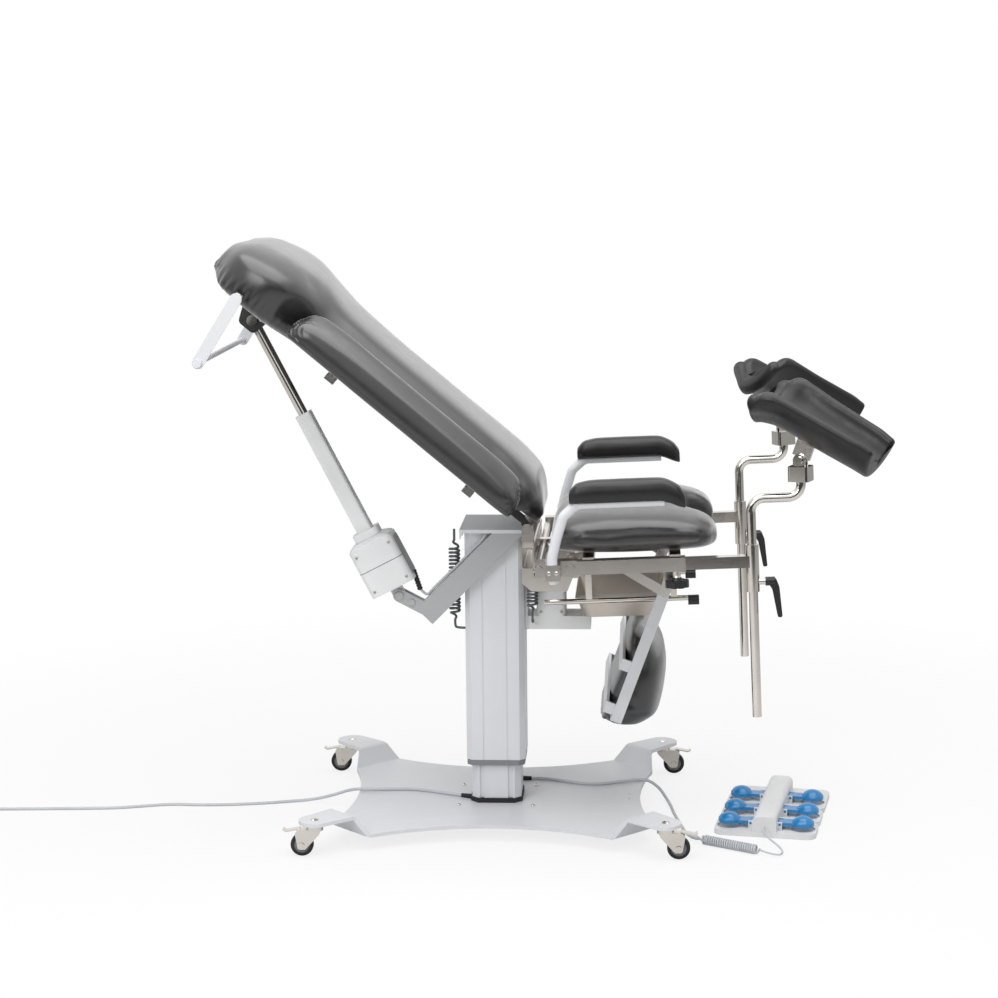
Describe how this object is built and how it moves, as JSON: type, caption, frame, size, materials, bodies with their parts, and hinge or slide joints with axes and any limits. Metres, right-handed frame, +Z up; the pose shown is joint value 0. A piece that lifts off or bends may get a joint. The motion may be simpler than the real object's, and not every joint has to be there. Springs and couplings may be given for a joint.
{
  "type": "gynecological examination chair",
  "caption": "Power-adjusted gynecological examination chair on a caster base: reclining back with wings, notched seat, leg supports, footrest, basin and foot control.",
  "frame": {"origin": "on the floor under the middle of the chair and its foot control, cords left out", "axes": "+X toward the leg supports, +Y toward the chair's far side (its left-hand side seen from the head), +Z up"},
  "size_m": [2.2025, 0.875, 1.3225],
  "materials": {
    "upholstery": "soft grain",
    "black_pad": "soft grain",
    "black_moulded": "fine grain",
    "powder_white": "powder coat",
    "chrome": "polished",
    "steel": "brushed",
    "aluminium": "anodised",
    "grey_plastic": "fine grain",
    "white_plastic": "smooth",
    "black_plastic": "smooth",
    "blue_plastic": "glossy",
    "cord": "matt",
    "black_cord": "matt",
    "tyre": "matt"
  },
  "bodies": {
    "base": {"base_plate": "powder_white", "column_foot_gasket": "black_plastic", "column_inner_profile": "aluminium", "lift_drive_rod": "steel", "caster_bolts": "white_plastic", "mains_lead": "cord", "mains_coil": "cord", "mains_plug": "grey_plastic", "pedal_lead": "cord", "pedal_curl": "cord", "pedal_housing": "grey_plastic"},
    "column_head": {"column_outer_profile": "powder_white", "column_head_plate": "powder_white", "support_arm": "aluminium", "cross_tube": "steel", "lift_drive_motor": "steel", "actuator_cables": "black_cord", "seat_actuator": "grey_plastic"},
    "backrest": {"back_frame": "steel", "back_cushion": "upholstery", "back_wings": "upholstery", "paper_holder": "powder_white"},
    "paper_rod": {"paper_rod": "chrome"},
    "back_actuator": {"back_actuator": "white_plastic"},
    "back_actuator_rod": {"back_actuator_rod": "chrome"},
    "seat": {"seat_frame": "steel", "seat_cushion": "upholstery", "basin_rails": "chrome", "armrest_tubes": "powder_white", "armrest_pads": "black_pad"},
    "seat_actuator_rod": {"seat_actuator_rod": "steel"},
    "basin": {"basin": "steel"},
    "footrest": {"footrest_frame": "powder_white", "footrest_pad": "black_pad"},
    "caster_fork_head_near": {"caster_fork_head_near": "chrome"},
    "caster_wheel_head_near": {"caster_wheel_head_near": "tyre"},
    "caster_fork_head_far": {"caster_fork_head_far": "chrome"},
    "caster_wheel_head_far": {"caster_wheel_head_far": "tyre"},
    "caster_fork_leg_near": {"caster_fork_leg_near": "chrome"},
    "caster_wheel_leg_near": {"caster_wheel_leg_near": "tyre"},
    "caster_fork_leg_far": {"caster_fork_leg_far": "chrome"},
    "caster_wheel_leg_far": {"caster_wheel_leg_far": "tyre"},
    "leg_bar_near": {"leg_bar_near": "chrome"},
    "leg_post_near": {"leg_post_near": "chrome"},
    "leg_clamp_near": {"leg_clamp_near": "chrome"},
    "leg_shell_near": {"leg_shell_near": "black_moulded"},
    "clamp_lever_near": {"clamp_lever_near": "black_plastic"},
    "star_knob_near": {"star_knob_near": "black_plastic"},
    "leg_bar_far": {"leg_bar_far": "chrome"},
    "leg_post_far": {"leg_post_far": "chrome"},
    "leg_clamp_far": {"leg_clamp_far": "chrome"},
    "leg_shell_far": {"leg_shell_far": "black_moulded"},
    "clamp_lever_far": {"clamp_lever_far": "black_plastic"},
    "star_knob_far": {"star_knob_far": "black_plastic"},
    "pedal_left_front": {"pedal_left_front": "blue_plastic"},
    "pedal_left_middle": {"pedal_left_middle": "blue_plastic"},
    "pedal_left_rear": {"pedal_left_rear": "blue_plastic"},
    "pedal_right_front": {"pedal_right_front": "blue_plastic"},
    "pedal_right_middle": {"pedal_right_middle": "blue_plastic"},
    "pedal_right_rear": {"pedal_right_rear": "blue_plastic"}
  },
  "joints": [
    {"name": "column_lift", "type": "slide", "parent": "base", "child": "column_head", "axis": [0, 0, 1], "range_m": [-0.06, 0.24]},
    {"name": "caster_swivel_head_near", "type": "hinge", "parent": "base", "child": "caster_fork_head_near", "pos_m": [-0.49343, -0.335, 0.072], "axis": [0, 0, 1], "continuous": true},
    {"name": "caster_spin_head_near", "type": "hinge", "parent": "caster_fork_head_near", "child": "caster_wheel_head_near", "pos_m": [-0.52143, -0.335, 0.025], "axis": [0, 1, 0], "continuous": true},
    {"name": "caster_swivel_head_far", "type": "hinge", "parent": "base", "child": "caster_fork_head_far", "pos_m": [-0.49343, 0.335, 0.072], "axis": [0, 0, 1], "continuous": true},
    {"name": "caster_spin_head_far", "type": "hinge", "parent": "caster_fork_head_far", "child": "caster_wheel_head_far", "pos_m": [-0.52143, 0.335, 0.025], "axis": [0, 1, 0], "continuous": true},
    {"name": "caster_swivel_leg_near", "type": "hinge", "parent": "base", "child": "caster_fork_leg_near", "pos_m": [0.26657, -0.335, 0.072], "axis": [0, 0, 1], "continuous": true},
    {"name": "caster_spin_leg_near", "type": "hinge", "parent": "caster_fork_leg_near", "child": "caster_wheel_leg_near", "pos_m": [0.29457, -0.335, 0.025], "axis": [0, 1, 0], "continuous": true},
    {"name": "caster_swivel_leg_far", "type": "hinge", "parent": "base", "child": "caster_fork_leg_far", "pos_m": [0.26657, 0.335, 0.072], "axis": [0, 0, 1], "continuous": true},
    {"name": "caster_spin_leg_far", "type": "hinge", "parent": "caster_fork_leg_far", "child": "caster_wheel_leg_far", "pos_m": [0.29457, 0.335, 0.025], "axis": [0, 1, 0], "continuous": true},
    {"name": "back_recline", "type": "hinge", "parent": "column_head", "child": "backrest", "pos_m": [-0.03483, 0, 0.6887], "axis": [0, 1, 0], "range_deg": [-26, 10]},
    {"name": "back_actuator_swing", "type": "hinge", "parent": "column_head", "child": "back_actuator", "pos_m": [-0.32543, -0.087, 0.528], "axis": [0, 1, 0], "range_deg": [-27, 10.5]},
    {"name": "back_actuator_push", "type": "slide", "parent": "back_actuator", "child": "back_actuator_rod", "axis": [-0.4549, 0, 0.8905], "range_m": [-0.148, 0.0575]},
    {"name": "paper_rod_spin", "type": "hinge", "parent": "backrest", "child": "paper_rod", "pos_m": [-0.72891, 0, 1.06877], "axis": [0, 1, 0], "continuous": true},
    {"name": "seat_tilt", "type": "hinge", "parent": "column_head", "child": "seat", "pos_m": [0.06307, 0, 0.629], "axis": [0, -1, 0], "range_deg": [-2, 8]},
    {"name": "seat_actuator_push", "type": "slide", "parent": "column_head", "child": "seat_actuator_rod", "axis": [0, 0, 1], "range_m": [-0.0105, 0.0035]},
    {"name": "basin_pull", "type": "slide", "parent": "seat", "child": "basin", "axis": [0.9993, 0, 0.0384], "range_m": [0, 0.15]},
    {"name": "footrest_swing", "type": "hinge", "parent": "seat", "child": "footrest", "pos_m": [0.26415, 0, 0.56567], "axis": [0, 1, 0], "range_deg": [-80, 0]},
    {"name": "leg_reach_near", "type": "slide", "parent": "seat", "child": "leg_bar_near", "axis": [0.9993, 0, 0.0384], "range_m": [-0.08, 0.06]},
    {"name": "leg_height_near", "type": "slide", "parent": "leg_bar_near", "child": "leg_post_near", "axis": [-0.0384, 0, 0.9993], "range_m": [-0.05, 0.15]},
    {"name": "leg_swivel_near", "type": "hinge", "parent": "leg_post_near", "child": "leg_clamp_near", "pos_m": [0.54911, -0.288, 0.84582], "axis": [-0.0384, 0, 0.9993], "range_deg": [-40, 40]},
    {"name": "leg_tilt_near", "type": "hinge", "parent": "leg_clamp_near", "child": "leg_shell_near", "pos_m": [0.54853, -0.288, 0.86081], "axis": [0.4223, 0.9063, 0.0162], "range_deg": [-20, 20]},
    {"name": "clamp_lever_turn_near", "type": "hinge", "parent": "leg_bar_near", "child": "clamp_lever_near", "pos_m": [0.45151, -0.288, 0.59889], "axis": [0.9993, 0, 0.0384], "range_deg": [-60, 60]},
    {"name": "star_knob_turn_near", "type": "hinge", "parent": "seat", "child": "star_knob_near", "pos_m": [0.29044, -0.288, 0.59771], "axis": [-0.0384, 0, 0.9993], "range_deg": [-180, 180]},
    {"name": "leg_reach_far", "type": "slide", "parent": "seat", "child": "leg_bar_far", "axis": [0.9993, 0, 0.0384], "range_m": [-0.08, 0.06]},
    {"name": "leg_height_far", "type": "slide", "parent": "leg_bar_far", "child": "leg_post_far", "axis": [-0.0384, 0, 0.9993], "range_m": [-0.05, 0.15]},
    {"name": "leg_swivel_far", "type": "hinge", "parent": "leg_post_far", "child": "leg_clamp_far", "pos_m": [0.54911, 0.288, 0.84582], "axis": [-0.0384, 0, 0.9993], "range_deg": [-40, 40]},
    {"name": "leg_tilt_far", "type": "hinge", "parent": "leg_clamp_far", "child": "leg_shell_far", "pos_m": [0.54853, 0.288, 0.86081], "axis": [-0.4223, 0.9063, -0.0162], "range_deg": [-20, 20]},
    {"name": "clamp_lever_turn_far", "type": "hinge", "parent": "leg_bar_far", "child": "clamp_lever_far", "pos_m": [0.45151, 0.288, 0.59889], "axis": [0.9993, 0, 0.0384], "range_deg": [-60, 60]},
    {"name": "star_knob_turn_far", "type": "hinge", "parent": "seat", "child": "star_knob_far", "pos_m": [0.29044, 0.288, 0.59771], "axis": [-0.0384, 0, 0.9993], "range_deg": [-180, 180]},
    {"name": "press_pedal_left_front", "type": "hinge", "parent": "base", "child": "pedal_left_front", "pos_m": [0.46087, -0.13211, 0.0245], "axis": [-0.1736, -0.9848, 0], "range_deg": [0, 5], "stiffness_Nm_per_rad": 4, "springref_deg": -3.44},
    {"name": "press_pedal_left_middle", "type": "hinge", "parent": "base", "child": "pedal_left_middle", "pos_m": [0.47858, -0.03166, 0.0245], "axis": [-0.1736, -0.9848, 0], "range_deg": [0, 5], "stiffness_Nm_per_rad": 4, "springref_deg": -3.44},
    {"name": "press_pedal_left_rear", "type": "hinge", "parent": "base", "child": "pedal_left_rear", "pos_m": [0.49733, 0.0747, 0.0245], "axis": [-0.1736, -0.9848, 0], "range_deg": [0, 5], "stiffness_Nm_per_rad": 4, "springref_deg": -3.44},
    {"name": "press_pedal_right_front", "type": "hinge", "parent": "base", "child": "pedal_right_front", "pos_m": [0.52488, -0.14339, 0.0245], "axis": [0.1736, 0.9848, 0], "range_deg": [0, 5], "stiffness_Nm_per_rad": 4, "springref_deg": -3.44},
    {"name": "press_pedal_right_middle", "type": "hinge", "parent": "base", "child": "pedal_right_middle", "pos_m": [0.54259, -0.04294, 0.0245], "axis": [0.1736, 0.9848, 0], "range_deg": [0, 5], "stiffness_Nm_per_rad": 4, "springref_deg": -3.44},
    {"name": "press_pedal_right_rear", "type": "hinge", "parent": "base", "child": "pedal_right_rear", "pos_m": [0.56134, 0.06341, 0.0245], "axis": [0.1736, 0.9848, 0], "range_deg": [0, 5], "stiffness_Nm_per_rad": 4, "springref_deg": -3.44}
  ],
  "couplings": [
    {"joint": "back_actuator_swing", "follows": "back_recline", "ratio": 1.0277},
    {"joint": "back_actuator_push", "follows": "back_recline", "m_per_rad": 0.3233},
    {"joint": "seat_actuator_push", "follows": "seat_tilt", "m_per_rad": -0.06795}
  ]
}
